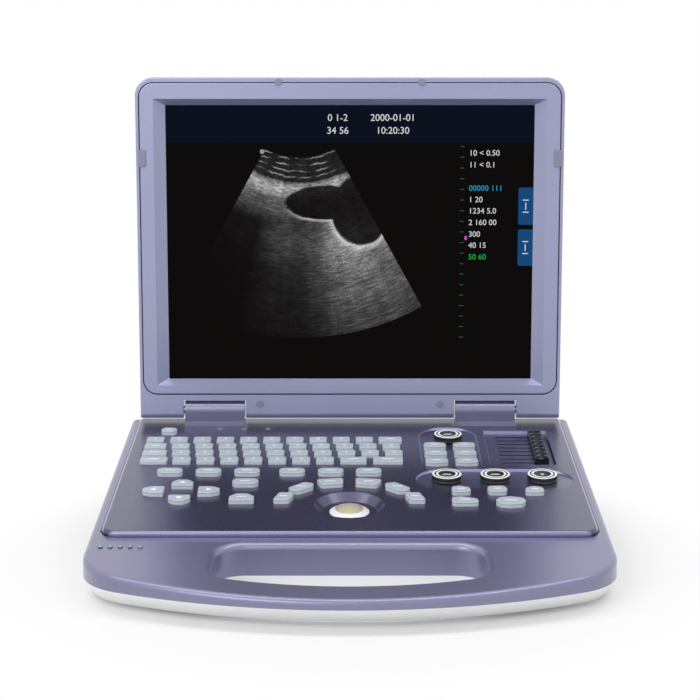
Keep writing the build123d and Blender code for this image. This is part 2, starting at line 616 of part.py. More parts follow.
def heat_sink():
    """A finned block on the main board, in the fan's air stream."""
    y = plan_y(52.0)
    low = MAIN_BOARD_Z + BOARD_THICKNESS + 2.4
    base = block(9, 65, y - 27, y + 5, low, low + 2.5)
    fins = [block(9.8 + 5.3 * i, 11.0 + 5.3 * i, y - 27, y + 5, low + 2.5, 36.0) for i in range(11)]
    return base + fins


def along_y(y0, y1, radius):
    """A round bar along Y, about the fan's axis."""
    return Pos(0, (y0 + y1) / 2, 0) * Rot(90, 0, 0) * Cylinder(radius, y1 - y0)


def fan_frame():
    """The square frame of the fan at the rear wall, with its hub on three arms."""
    half, depth = FAN_SIZE / 2, 15.0
    frame = block(-half, half, -depth, 0, -half, half) - along_y(-30, 30, half - 1.5)
    hub = along_y(-3, 0, FAN_HUB_R)
    arms = [Rot(0, 120 * i, 0) * block(-1.2, 1.2, -3, 0, 6, half - 1) for i in range(3)]
    pin = along_y(-10.5, -2.5, FAN_PIN_R)
    return FAN_PLACE * (frame + hub + arms + pin)


def fan_rotor():
    """The rotor: a hub that turns on the frame's pin, with seven blades."""
    blade_count = 7
    hub = along_y(-13.6, -4, FAN_HUB_R) - along_y(-11, -2, FAN_PIN_R + 0.06)
    blade = Pos(0, -9, 12.5) * Rot(0, 0, 38) * Box(1.4, 10.5, 9.2)
    blades = [Rot(0, 360 / blade_count * i, 0) * blade for i in range(blade_count)]
    return FAN_PLACE * (hub + blades)


def battery_pack():
    x0, x1, rear, front = BATTERY_BAY
    pack = block(x0 + 2, x1 - 2, plan_y(front) + 2, plan_y(rear) - 2, FOOT_HEIGHT + WALL + 0.2, 27.0)
    return fillet(pack.edges().filter_by(Axis.Z), 3)


def battery_door():
    """The flat door of the battery bay, level with the tub's underside, with a ribbed grip."""
    x0, x1, rear, front = BATTERY_BAY
    grip_y, grip_foot = plan_y(front) + 6, FOOT_HEIGHT + 1
    door = block(x0, x1, plan_y(front), plan_y(rear), FOOT_HEIGHT, FOOT_HEIGHT + WALL)
    places = [x0 + 30 + 5 * i for i in range(9)]
    return door - [block(x, x + 2, grip_y, grip_y + 16, 0, grip_foot) for x in places]


def speakers():
    """Two small oval speakers on the floor, behind their grilles."""
    low = FOOT_HEIGHT + WALL
    return [slab(Pos(x, plan_y(SPEAKER_D)) * RectangleRounded(24, 30, 8), low, low + 3) for x in SPEAKERS]


def probe_sockets():
    """Two long plug-in sockets for the probes, in the left wall."""
    long, tall = PROBE_SIZE
    sockets = []
    for d in PROBE_PLACES:
        y = plan_y(d)
        body = block(-HALF_WIDTH + 0.4, -164.0, y - long / 2 - 1.2, y + long / 2 + 1.2,
                     PROBE_Z - tall / 2 - 1.2, PROBE_Z + tall / 2 + 1.2)
        room = block(-190.0, -172.0, y - long / 2 + 1.5, y + long / 2 - 1.5,
                     PROBE_Z - tall / 2 + 1.5, PROBE_Z + tall / 2 - 1.5)
        contacts = block(-174.0, -171.0, y - long / 2 + 5, y + long / 2 - 5, PROBE_Z - 3.2, PROBE_Z + 3.2)
        sockets.append(body - room + contacts)
    return sockets


def rear_sockets():
    """Power inlet, two USB sockets and a video socket in the rear wall."""
    face = plan_y(-REAR_LEDGE) + 0.3
    sockets = []
    for x, wide, tall in REAR_SOCKETS:
        case = socket_block(x, wide, tall, face - 14.3, face)
        room = socket_block(x, wide - 1.6, tall - 1.6, face - 9.3, face + 1)
        tongue = socket_block(x, wide - 5.2, tall - 5.2, face - 10, face - 0.9)
        sockets.append(case - room + tongue)
    return sockets


def socket_block(x, wide, tall, y0, y1):
    """A block about the middle of a rear socket."""
    z = REAR_SOCKET_Z
    return block(x - wide / 2, x + wide / 2, y0, y1, z - tall / 2, z + tall / 2)


def rubber_feet():
    return [fillet(disc(x, plan_y(d), 0, FOOT_HEIGHT, 8).faces().sort_by(Axis.Z)[0].edges(), 0.8)
            for x, d in FOOT_PLACES]


def case_screws():
    """Screws that hold the two shells together from below, with sunk, slotted heads."""
    screws = []
    for x, d in SCREWS:
        y = plan_y(d)
        head = disc(x, y, FOOT_HEIGHT + 0.3, SCREW_SEAT, SCREW_HEAD_R)
        shank = disc(x, y, SCREW_SEAT, 15.0, SCREW_R)
        slot = block(x - 2, x + 2, y - 0.4, y + 0.4, 0, FOOT_HEIGHT + 0.9)
        screws.append(head + shank - slot)
    return screws


# ---------------------------------------------------------------- hinges
def both_sides(shape):
    """The right-hand piece and its mirror image at the left."""
    return [shape, mirror(shape, Plane.YZ)]


def hinge_covers():
    """The purple barrels that stand in the lid's notches, on feet that reach down to the panel."""
    x0, x1 = HINGE_INNER_X + 1.0, HINGE_OUTER_X - 1.5
    barrel_r = 7.5
    rear, height = -HINGE_D, HINGE_HEIGHT
    front_x = rear - barrel_r
    profile = make_face(Polyline((rear + barrel_r, height), (rear + barrel_r, 0), (front_x - 1.1, 0),
                                 (front_x - 0.4, 4), (front_x, height), close=True))
    profile += Pos(rear, height) * Circle(barrel_r)
    solid = Pos(x0, 0, 0) * Plane.YZ.location * extrude(profile, x1 - x0)
    room = cross_rod(x0 + 1.5, x1 - 1.5, rear, height, barrel_r - 1.6)
    room += block(x0 + 1.5, x1 - 1.5, rear - 5.5, rear + 5.5, -1, height)
    shaft_hole = cross_rod(x1 - 3, x1 + 2, rear, height, SHAFT_R + 0.5)
    return both_sides(on_deck(solid - room - shaft_hole))


def hinge_brackets():
    """Steel brackets on the base, each with its shaft along the hinge axis."""
    a, b = BRACKET_X
    shaft = cross_rod(a, 160, -HINGE_D, HINGE_HEIGHT, SHAFT_R)
    plate_top = -RIM_DROP - 2 * WALL + 0.5
    ears = [block(x, x + EAR, -HINGE_D - 4, -HINGE_D + 4, plate_top - 2, HINGE_HEIGHT + 2) for x in (a, b)]
    foot = block(a - 4, b + EAR + 4, -HINGE_D - 1, -HINGE_D + 12.5, plate_top - 2, plate_top)
    return both_sides(on_deck(shaft + ears + foot))


def hinge_arms():
    """Steel arms in the lid: an eye that grips the shaft and a plate screwed behind the screen."""
    x0, x1 = ARM_X
    back = LID_BACK + WALL + 0.3
    plate_foot, plate_top, plate_thickness = 2.0, 70.0, 1.4
    eye = cross_rod(x0, x1, 0, 0, EYE_R)
    web = block(x0, x1, plate_foot, EYE_R, back, 0)
    plate = block(x0, x1, plate_foot, plate_top, back, back + plate_thickness)
    bore = cross_rod(x0 - 1, x1 + 1, 0, 0, SHAFT_R + 0.04)
    return both_sides(on_lid(eye + web + plate - bore))


# ---------------------------------------------------------------- lid
BEZEL_HALF = 173.5
BEZEL_FOOT = 13.5
BEZEL_TOP = 272.9
BEZEL_CORNER = 12.3
WINDOW_HALF = 161.4
WINDOW_FOOT = 21.5
WINDOW_TOP = 259.4
GROOVE = 0.6                      # round the bezel
SCREEN_FRONT = LID_FRONT - SCREEN_RECESS - 0.2
GLASS_THICKNESS = 1.2


def framed(half, foot, top, corner):
    """A rounded rectangle across the lid."""
    return Pos(0, (foot + top) / 2) * RectangleRounded(2 * half, top - foot, corner)


def lid_back_cover():
    """The lid's tray: back, surrounding lip, lower band and the two hinge notches."""
    half, top = LID_WIDTH / 2, LID_FOOT + LID_HEIGHT
    face = outline([(-half, LID_FOOT), (half, LID_FOOT), (half, top), (-half, top)], [2, 2, 15, 15])
    tray = slab(face, LID_BACK, LID_FRONT)
    tray = fillet(tray.faces().sort_by(Axis.Z)[0].edges(), 6.0)
    tray = fillet(face_up(tray).edges(), 1.2)
    tray -= foot_rounding(4.5)
    inside = slab(framed(half - WALL, LID_FOOT + WALL, top - WALL, 12.5), LID_BACK + WALL, LID_FRONT - 2.8)
    a, b = HINGE_INNER_X, HINGE_OUTER_X
    for side in HINGE_SIDES:
        x0, x1 = sorted((side * (a - 2), side * (b + 2)))
        inside -= block(x0, x1, -30, NOTCH_TOP + 2, -30, 30)
    opening = slab(framed(BEZEL_HALF, BEZEL_FOOT, BEZEL_TOP, BEZEL_CORNER), LID_FRONT - 2.9, LID_FRONT + 1)
    tray -= [inside, opening]
    for side in HINGE_SIDES:
        x0, x1 = sorted((side * a, side * b))
        tray -= block(x0, x1, -30, NOTCH_TOP, -30, 30)
        x0, x1 = sorted((side * (b - 1), side * ARM_X[0]))
        tray -= cross_rod(x0, x1, 0, 0, SHAFT_R + 0.6)
        x0, x1 = sorted((side * (ARM_X[0] - 0.5), side * (ARM_X[1] + 0.5)))
        tray -= cross_rod(x0, x1, 0, 0, EYE_R + 0.4)
    return on_lid(tray)


def foot_rounding(radius):
    """A tool that rounds the edge between the lid's front and its foot."""
    y, z = LID_FOOT + radius, LID_FRONT - radius
    half = LID_WIDTH / 2 + 1
    return block(-half, half, LID_FOOT - 1, y, z, LID_FRONT + 1) - cross_rod(-half, half, y, z, radius)


def lid_bezel():
    """The screen surround: a flat frame whose window slopes in to the screen."""
    face = framed(BEZEL_HALF - GROOVE, BEZEL_FOOT + GROOVE, BEZEL_TOP - GROOVE, BEZEL_CORNER - GROOVE)
    plate = slab(face, LID_FRONT - 2.6, LID_FRONT)
    plate = fillet(face_up(plate).edges(), 1.0)
    foot, top = SCREEN_MIDDLE - SCREEN_HEIGHT / 2, SCREEN_MIDDLE + SCREEN_HEIGHT / 2
    front_window = framed(WINDOW_HALF, WINDOW_FOOT, WINDOW_TOP, 1.0)
    deep = LID_FRONT - SCREEN_RECESS
    rear_window = framed(SCREEN_WIDTH / 2, foot, top, 0.5)
    front_wall = framed(WINDOW_HALF + 1.5, WINDOW_FOOT - 1.5, WINDOW_TOP + 1.5, 2.5)
    rear_wall = framed(SCREEN_WIDTH / 2 + 2, foot - 2, top + 2, 2.5)
    wall = loft([Pos(0, 0, LID_FRONT - 1) * front_wall, Pos(0, 0, deep) * rear_wall], ruled=True)
    window = loft([Pos(0, 0, LID_FRONT) * front_window, Pos(0, 0, deep) * rear_window], ruled=True)
    return on_lid(plate + wall - window)


def screen_glass():
    """The screen's glass, right behind the bezel's window."""
    half_w, half_h = SCREEN_WIDTH / 2 + 2, SCREEN_HEIGHT / 2 + 2
    return on_lid(block(-half_w, half_w, SCREEN_MIDDLE - half_h, SCREEN_MIDDLE + half_h,
                        SCREEN_FRONT - GLASS_THICKNESS, SCREEN_FRONT))


def screen_module():
    """The screen's metal module: a tray round the glass, with four fixing ears."""
    half_w, half_h = 163.0, 123.0
    room_w, room_h = SCREEN_WIDTH / 2 + 2.3, SCREEN_HEIGHT / 2 + 2.3
    back = SCREEN_FRONT - 7.5
    body = block(-half_w, half_w, -half_h, half_h, back, SCREEN_FRONT)
    body -= block(-room_w, room_w, -room_h, room_h, SCREEN_FRONT - GLASS_THICKNESS, SCREEN_FRONT + 1)
    ears = [block(x - 4, x + 4, y - 6, y + 6, back, back + 1.5)
            for x in (-half_w - 3, half_w + 3) for y in (-90, 90)]
    return on_lid(Pos(0, SCREEN_MIDDLE, 0) * (body + ears))


def screen_board():
    """The screen's driver board, a narrow strip behind the module."""
    back = LID_BACK + WALL + 0.6
    board = block(-90, 90, 60, 84, back, back + 1.2)
    parts = [block(x, x + 22, 64, 78, back + 1.2, back + 2.4) for x in (-80, -30, 20, 60)]
    return on_lid(board + parts)


def lid_bumpers():
    """Soft grey caps over the bezel's screws, and a bumper over the groove at each side."""
    high = LID_FRONT + 0.9
    pieces = [fillet(face_up(disc(x, y, LID_FRONT, high, 3.0)).edges(), 0.5)
              for x, y in ((-58.7, BEZEL_TOP), (58.7, BEZEL_TOP), (-75.5, 6.0), (75.5, 6.0))]
    for side in HINGE_SIDES:
        pad = slab(Pos(side * 171.2, 210.9) * RectangleRounded(6.6, 14.0, 1.2), LID_FRONT, high + 0.3)
        pieces.append(fillet(face_up(pad).edges(), 0.5))
    return [on_lid(piece) for piece in pieces]


# ---------------------------------------------------------------- the nodes
def all_nodes():
    """Every sub-part by its node name."""
    nodes = {
        "lower_shell": lower_shell(), "upper_shell": upper_shell(), "control_panel": control_panel(),
        "keypad_mat": keypad_mat(), "key_board": key_board(), "main_board": main_board(),
        "beamformer_board": beamformer_board(), "battery_pack": battery_pack(),
        "battery_door": battery_door(), "fan_frame": fan_frame(), "fan_rotor": fan_rotor(),
        "heat_sink": heat_sink(), "speakers": speakers(), "probe_sockets": probe_sockets(),
        "rear_sockets": rear_sockets(), "rubber_feet": rubber_feet(), "case_screws": case_screws(),
        "slider_pots": slider_pots(), "encoders": encoders(), "trackball": trackball(),
        "trackball_ring": trackball_ring(), "trackball_cup": trackball_cup(),
        "trackball_roller": trackball_roller(), "indicator_lenses": indicator_lenses(),
        "hinge_covers": hinge_covers(), "hinge_brackets": hinge_brackets(), "hinge_arms": hinge_arms(),
        "lid_back_cover": lid_back_cover(), "lid_bezel": lid_bezel(), "screen_glass": screen_glass(),
        "screen_module": screen_module(), "screen_board": screen_board(), "lid_bumpers": lid_bumpers(),
    }
    for i in range(SLIDER_COUNT):
        nodes[f"slider_cap_{i + 1}"] = slider_cap(i)
    for i, (x, d) in enumerate(KNOBS):
        nodes[f"knob_{i + 1}"] = knob(x, d)
    for name, shapes in KEYS.items():
        crown = LETTER_CROWN if name.startswith("letter") else CONTROL_CROWN
        nodes[name] = key_caps(shapes, crown)
    return nodes


def solids_of(shape):
    """All the solids of a piece or of a list of pieces."""
    pieces = shape if isinstance(shape, list) else [shape]
    return [solid for piece in pieces for solid in piece.solids()]


os.makedirs("parts", exist_ok=True)
for name, shape in all_nodes().items():
    export_step(Compound(children=solids_of(shape)), f"parts/{name}.step")
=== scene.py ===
"""Laptop-type ultrasound scanner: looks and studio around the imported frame."""

from math import cos, radians, sin, tau

import bmesh
import bpy
from mathutils import Matrix, Vector


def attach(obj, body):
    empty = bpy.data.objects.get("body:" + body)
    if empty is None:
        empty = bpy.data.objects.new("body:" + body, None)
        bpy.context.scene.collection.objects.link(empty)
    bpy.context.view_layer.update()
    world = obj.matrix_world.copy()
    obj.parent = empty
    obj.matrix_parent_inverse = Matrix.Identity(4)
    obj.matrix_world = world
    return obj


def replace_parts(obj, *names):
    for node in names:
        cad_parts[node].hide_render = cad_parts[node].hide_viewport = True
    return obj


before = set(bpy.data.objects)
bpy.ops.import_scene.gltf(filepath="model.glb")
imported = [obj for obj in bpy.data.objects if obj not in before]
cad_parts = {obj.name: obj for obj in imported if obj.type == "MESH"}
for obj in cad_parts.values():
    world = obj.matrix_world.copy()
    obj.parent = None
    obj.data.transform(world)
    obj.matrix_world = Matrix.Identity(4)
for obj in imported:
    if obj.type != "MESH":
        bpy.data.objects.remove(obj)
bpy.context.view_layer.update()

# ------------------------------------------------------------------ camera
# A long lens a little above the open scanner, looking slightly down. It stands square to the
# scanner's front, 1.45 m from the rear edge of the control panel.
DECK_ORIGIN = Vector((0.0, 0.16719, 0.0655))
camera_data = bpy.data.cameras.new("camera")
camera_data.sensor_width = 36.0
camera_data.lens = 89.74
camera_data.clip_start, camera_data.clip_end = 0.05, 40.0
camera = bpy.data.objects.new("camera", camera_data)
camera.location = DECK_ORIGIN + Vector((0.0, -1.44647, 0.32633))
camera.rotation_euler = (radians(90.0 - 10.4), 0.0, 0.0)
bpy.context.scene.collection.objects.link(camera)
bpy.context.scene.camera = camera

# ------------------------------------------------------------------ white tub
# The lower case is injection-moulded white plastic with a fine eroded grain; the door of the
# battery bay is cut from the same sort and lies level with its underside.


class Wire:
    """A value in one material's node tree. Arithmetic on it adds Math nodes; node() adds any other."""

    def __init__(self, tree, socket=None):
        self.tree = tree
        self.socket = socket

    def node(self, kind, settings=None, inputs=None, out=0):
        """Add a node: its settings first, then the values or wires of its sockets."""
        made = self.tree.nodes.new(kind)
        for key, value in (settings or {}).items():
            if key == "stops":
                ramp = made.color_ramp.elements
                while len(ramp) < len(value):
                    ramp.new(1.0)
                for stop, (place, colour) in zip(ramp, value):
                    stop.position, stop.color = place, colour
            else:
                setattr(made, key, value)
        for key, value in (inputs or {}).items():
            port = pick(made.inputs, key)
            if isinstance(value, Wire):
                self.tree.links.new(value.socket, port)
            else:
                port.default_value = value
        return Wire(self.tree, pick(made.outputs, out))

    def maths(self, operation, first, second=0.0):
        """A Math node of one operation, fed with two values or wires."""
        return self.node("ShaderNodeMath", {"operation": operation}, {0: first, 1: second})

    def __add__(self, other):
        return self.maths("ADD", self, other)

    def __radd__(self, other):
        return self.maths("ADD", other, self)

    def __sub__(self, other):
        return self.maths("SUBTRACT", self, other)

    def __rsub__(self, other):
        return self.maths("SUBTRACT", other, self)

    def __mul__(self, other):
        return self.maths("MULTIPLY", self, other)

    def __rmul__(self, other):
        return self.maths("MULTIPLY", other, self)

    def __truediv__(self, other):
        return self.maths("DIVIDE", self, other)

    def __rtruediv__(self, other):
        return self.maths("DIVIDE", other, self)

    def __pow__(self, other):
        return self.maths("POWER", self, other)

    def __lt__(self, other):
        return self.maths("LESS_THAN", self, other)

    def __gt__(self, other):
        return self.maths("GREATER_THAN", self, other)

    def __abs__(self):
        return self.maths("ABSOLUTE", self)


def pick(ports, key):
    """A node's socket by number or by name."""
    if isinstance(key, int):
        return ports[key]
    return next(port for port in ports if port.name == key and port.enabled and not port.is_unavailable)


def colour(code):
    """A colour written as six hexadecimal digits, in the renderer's linear units."""
    parts = [int(code[i:i + 2], 16) / 255.0 for i in (0, 2, 4)]
    return tuple(c / 12.92 if c <= 0.04045 else ((c + 0.055) / 1.055) ** 2.4 for c in parts) + (1.0,)


def shade(tone, factor):
    """A colour made darker or lighter by a factor."""
    return tuple(min(1.0, part * factor) for part in tone[:3]) + (1.0,)


def start_material(name):
    """A new node material: its main shader, and a wire that reads the object's own coordinates."""
    material = bpy.data.materials.new(name)
    material.use_nodes = True
    tree = material.node_tree
    shader = tree.nodes["Principled BSDF"]
    place = Wire(tree).node("ShaderNodeTexCoord", out="Object")
    return material, shader, place


def feed(shader, name, wire):
    """Link a wire to one of the shader's sockets."""
    wire.tree.links.new(wire.socket, shader.inputs[name])


def blend_colours(factor, low, high):
    """Mix two colours, each a value or a wire."""
    return factor.node("ShaderNodeMix", {"data_type": "RGBA"}, {"Factor": factor, "A": low, "B": high},
                       out="Result")


def noise(place, scale, detail=2.0, roughness=0.5):
    """Even fractal noise from 0 to 1 about a half."""
    return place.node("ShaderNodeTexNoise", {}, {"Vector": place, "Scale": scale, "Detail": detail,
                                                  "Roughness": roughness}, out=0)


def grain_bump(place, height, strength, distance):
    """A Bump node's normal from a height."""
    return place.node("ShaderNodeBump", {}, {"Height": height, "Strength": strength, "Distance": distance},
                      out="Normal")


def moulded(name, code, rough, grain=2400.0, depth=0.35, drift=0.06, wash=None):
    """Moulded plastic: eroded grain in its surface, and faint clouds in colour and gloss.

    A wash is a second colour, and the function that says how far it covers each place."""
    material, shader, place = start_material(name)
    clouds = noise(place, 9.0, 4.0)
    fine = noise(place, grain, 2.0)
    base = colour(code)
    tone = blend_colours(clouds * 0.8 + fine * 0.2, shade(base, 1.0 - drift), shade(base, 1.0 + drift))
    if wash:
        tone = blend_colours(wash[1](place), tone, colour(wash[0]))
    feed(shader, "Base Color", tone)
    feed(shader, "Roughness", rough + (clouds - 0.5) * 0.12 + (fine - 0.5) * 0.10)
    feed(shader, "Normal", grain_bump(place, fine, depth, 0.0001))
    return material


def finish_node(node, material):
    """Give a carried-over CAD node its material."""
    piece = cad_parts[node]
    piece.data.materials.clear()
    piece.data.materials.append(material)


white_plastic = moulded("white_tub_plastic", "f5f5f6", 0.42, drift=0.02)
for node in ("lower_shell", "battery_door"):
    finish_node(node, white_plastic)

# ------------------------------------------------------------------ feet and case screws
# Four black rubber pads are pressed into the tub. Six zinc-plated screws, sunk in the tub's
# floor, hold the two shells together from below.
foot_rubber = moulded("foot_rubber", "1b1b1c", 0.75, grain=900.0, depth=0.5)
finish_node("rubber_feet", foot_rubber)


def plated_steel(name, code="b4b5ba", rough=0.32):
    """Plated or rolled steel: fine lines along one direction, and slight clouding of the plating."""
    material, shader, place = start_material(name)
    stretched = place.node("ShaderNodeMapping", {}, {"Vector": place, "Scale": (40.0, 900.0, 900.0)},
                           out="Vector")
    lines = noise(stretched, 1.0, 3.0)
    clouds = noise(place, 60.0, 3.0)
    base = colour(code)
    feed(shader, "Base Color", blend_colours(clouds * 0.6 + lines * 0.4, shade(base, 0.72), base))
    shader.inputs["Metallic"].default_value = 1.0
    feed(shader, "Roughness", rough + (lines - 0.5) * 0.18)
    feed(shader, "Normal", grain_bump(place, lines, 0.25, 0.00008))
    return material


steel = plated_steel("plated_steel")
for node in ("case_screws", "hinge_brackets", "hinge_arms", "trackball_roller"):
    finish_node(node, steel)

# ------------------------------------------------------------------ painted shell
# The upper case, the handle bar and the two hinge covers are sprayed with one mauve lacquer:
# fine metal flake under a clear coat, a little rippled as sprayed coats are.


def flake_lacquer(name, code, rough=0.34, wash=None):
    """Sprayed metallic lacquer: sparkling flake, faint cloudiness, and a slight ripple."""
    material, shader, place = start_material(name)
    flake = place.node("ShaderNodeTexVoronoi", {"feature": "F1"}, {"Vector": place, "Scale": 3600.0},
                       out="Color")
    sparkle = flake.node("ShaderNodeSeparateColor", {}, {"Color": flake}, out="Red")
    clouds = noise(place, 7.0, 4.0)
    ripple = noise(place, 420.0, 1.0)
    base = colour(code)
    tone = blend_colours(sparkle * 0.55 + clouds * 0.45, shade(base, 0.86), shade(base, 1.14))
    if wash:
        tone = blend_colours(wash[1](place), tone, colour(wash[0]))
    feed(shader, "Base Color", tone)
    shader.inputs["Metallic"].default_value = 0.5
    feed(shader, "Roughness", rough + (sparkle - 0.5) * 0.10 + (clouds - 0.5) * 0.06)
    shader.inputs["Coat Weight"].default_value = 0.6
    shader.inputs["Coat Roughness"].default_value = 0.24
    feed(shader, "Normal", grain_bump(place, ripple * 0.7 + sparkle * 0.3, 0.05, 0.00012))
    return material


shell_lacquer = flake_lacquer("mauve_shell_lacquer", "807e9d")
for node in ("upper_shell", "hinge_covers"):
    finish_node(node, shell_lacquer)

# ------------------------------------------------------------------ control panel
# A separate moulded plate in the same lacquer, a shade darker, let into the shell's top. It
# carries the keys, the knobs, the slider tray and the well of the ball. A paler painted highlight
# runs along the plate's rolled edge and on the walls of the tray and of the knobs' wells.
DECK_SLOPE = radians(6.04)
deck = Matrix.Translation(DECK_ORIGIN) @ Matrix.Rotation(DECK_SLOPE, 4, "X")


def part_of(vector, axis):
    """One coordinate of a place."""
    return vector.node("ShaderNodeSeparateXYZ", {}, {"Vector": vector}, out=axis)


def step(wire, low, high):
    """Nought below one value, one above another, and smooth between them."""
    return wire.node("ShaderNodeMapRange", {"interpolation_type": "SMOOTHSTEP"},
                     {"Value": wire, "From Min": low, "From Max": high}, out=0)


def turned_back(place, origin, slope):
    """A place as seen from a sloping frame of its own."""
    turn = (slope, 0.0, 0.0)
    return place.node("ShaderNodeMapping", {"vector_type": "TEXTURE"},
                      {"Vector": place, "Location": tuple(origin), "Rotation": turn}, out="Vector")


def on_deck(place):
    """Millimetres across the deck, forwards from its rear edge, and up from its face."""
    local = turned_back(place, DECK_ORIGIN, DECK_SLOPE)
    return part_of(local, "X") * 1000.0, part_of(local, "Y") * -1000.0, part_of(local, "Z") * 1000.0


def most(first, second):
    """The larger of two values."""
    return first.maths("MAXIMUM", first, second)


def least(first, second):
    """The smaller of two values."""
    return first.maths("MINIMUM", first, second)


def thin_coat(place):
    """How strongly the painted highlight lies: on the plate's edge and on the walls of its hollows."""
    x, d, _ = on_deck(place)
    edge = most(step(d, 245.0, 245.9), step(abs(x), 176.3, 177.2))
    in_tray = (x > 110.6) * (x < 163.4) * (d > 25.4) * (d < 108.5)
    tray_walls = in_tray * (step(d, 27.3, 26.9) + step(x, 112.3, 111.9))
    along = most(abs(x - 111.5) - 36.8, 0.0)
    around = (along * along + (d - 141.0) * (d - 141.0)) ** 0.5
    row_wall = step(around, 22.1, 22.5) * step(around, 24.3, 24.0) * step(d, 150.0, 134.0)
    behind = least(d - 41.0, 0.0)
    across = ((x - 80.5) * (x - 80.5) + behind * behind) ** 0.5
    arch_wall = step(across, 22.6, 22.9) * step(across, 24.3, 24.0) * step(d, 112.0, 96.0) * 0.7
    return least(most(most(edge, tray_walls), most(row_wall, arch_wall)), 1.0)


# The paler second colour is a painted highlight on the plate's edge and its hollows' walls.
panel_lacquer = flake_lacquer("mauve_panel_lacquer", "4a4865", rough=0.30, wash=("8583ab", thin_coat))
finish_node("control_panel", panel_lacquer)

# ------------------------------------------------------------------ inside the case
# Circuit boards with green solder mask, their chips, the fan, its heat sink, the loudspeakers,
# the battery and the parts under the panel; they show through slots and gaps only.
solder_mask = moulded("solder_mask", "1d5a38", 0.35, grain=1500.0, depth=0.2, drift=0.25)
for node in ("key_board", "main_board", "beamformer_board", "screen_board"):
    finish_node(node, solder_mask)
black_plastic = moulded("black_moulding", "1c1c1e", 0.5)
for node in ("fan_frame", "fan_rotor", "speakers", "trackball_cup", "probe_sockets"):
    finish_node(node, black_plastic)
cast_aluminium = plated_steel("extruded_aluminium", "c6c7ca", 0.4)
for node in ("heat_sink", "screen_module", "slider_pots", "encoders", "rear_sockets"):
    finish_node(node, cast_aluminium)
finish_node("battery_pack", moulded("battery_film", "26262a", 0.4))
finish_node("keypad_mat", moulded("grey_silicone", "8f9296", 0.7, grain=700.0))

# ------------------------------------------------------------------ keys
# Grey-blue caps moulded in one colour, with softly rounded tops, standing in holes of the sloping
# panel. The marks on them are printed in white ink: numbers on the keyboard's keys, arrow heads on
# the four arrow keys, and short bars elsewhere.
DIGIT_HEIGHT, ARROW_REACH, INK_LIFT = 0.0048, 0.0030, 0.00006


def key_side(place):
    """How far down a cap's side a place lies: the sides are painted paler there, as painted light."""
    _, _, height = on_deck(place)
    return step(height, 2.5, 1.6) * 0.8


# The paler colour on the caps' sides is painted light.
key_plastic = moulded("key_plastic", "b6c1cb", 0.36, grain=2600.0, depth=0.2, wash=("e6eef3", key_side))
white_ink = moulded("white_ink", "f7fafc", 0.45, grain=1800.0, depth=0.05, drift=0.02)
KEY_NODES = [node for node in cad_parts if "key" in node and node not in ("keypad_mat", "key_board")]


def caps_of(node):
    """The middle of each cap's top, and its width and depth there, as laid out on the deck."""
    form = bmesh.new()
    form.from_mesh(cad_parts[node].data)
    bmesh.ops.remove_doubles(form, verts=form.verts, dist=1e-6)
    form.transform(deck.inverted())
    left, caps = set(form.verts), []
    while left:
        island, waiting = [], [left.pop()]
        while waiting:
            vertex = waiting.pop()
            island.append(vertex)
            near = {edge.other_vert(vertex) for edge in vertex.link_edges} & left
            left -= near
            waiting += near
        top = max(vertex.co.z for vertex in island)
        face = [vertex.co for vertex in island if vertex.co.z > top - 1e-4]
        xs, ys = [co.x for co in face], [co.y for co in face]
        middle = Vector(((min(xs) + max(xs)) / 2, (min(ys) + max(ys)) / 2, top + INK_LIFT))
        caps.append((middle, max(xs) - min(xs), max(ys) - min(ys)))
    form.free()
    return sorted(caps, key=lambda cap: (-round(cap[0].y, 3), cap[0].x))


def add_letters(form, text, height, place, align="CENTER"):
    """Add flat lettering to a mesh, its capitals of a given height about a place's origin."""
    curve = bpy.data.curves.new("lettering", "FONT")
    curve.body, curve.align_x, curve.align_y = text, align, "CENTER"
    curve.size = height / 0.7
    holder = bpy.data.objects.new("lettering", curve)
    flat = bpy.data.meshes.new_from_object(holder)
    flat.transform(place)
    form.from_mesh(flat)
    bpy.data.meshes.remove(flat)
    bpy.data.objects.remove(holder)


def add_patch(form, corners, place):
    """Add one flat face to a mesh, from its corners."""
    form.faces.new([form.verts.new(place @ Vector((x, y, 0.0))) for x, y in corners])


def add_bar(form, width, height, place):
    """Add a flat bar with cut corners to a mesh."""
    a, b, cut = width / 2, height / 2, min(width, height) / 4
    add_patch(form, [(-a + cut, -b), (a - cut, -b), (a, -b + cut), (a, b - cut), (a - cut, b), (-a + cut, b),
                     (-a, b - cut), (-a, -b + cut)], place)


def finish_piece(name, mesh, materials, body, turn=35.0):
    """Make a mesh a piece of the scanner: its materials, its shading, the body it rides on."""
    for material in materials:
        mesh.materials.append(material)
    mesh.shade_smooth()
    mesh.set_sharp_from_angle(angle=radians(turn))
    made = bpy.data.objects.new(name, mesh)
    bpy.context.scene.collection.objects.link(made)
    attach(made, body)
    return made


def finish_form(name, form, materials, body, turn=35.0):
    """The same for a piece still in the making."""
    mesh = bpy.data.meshes.new(name)
    form.to_mesh(mesh)
    form.free()
    return finish_piece(name, mesh, materials, body, turn)


number = 0
for node in sorted(KEY_NODES):
    finish_node(node, key_plastic)
    form = bmesh.new()
    for middle, width, depth in caps_of(node):
        place = deck @ Matrix.Translation(middle)
        if node.startswith("arrow"):
            heading = {"up": 0.0, "left": 90.0, "down": 180.0, "right": 270.0}[node.rsplit("_", 1)[1]]
            reach = ARROW_REACH
            add_patch(form, [(-reach, -0.6 * reach), (reach, -0.6 * reach), (0, 0.9 * reach)],
                      place @ Matrix.Rotation(radians(heading), 4, "Z"))
        elif node.startswith("letter") and width < 0.0135:
            number = number % 9 + 1
            add_letters(form, str(number), DIGIT_HEIGHT, place)
        else:
            add_bar(form, 0.42 * width, 0.0016, place)
    finish_form(node + "_print", form, [white_ink], node + "_body")

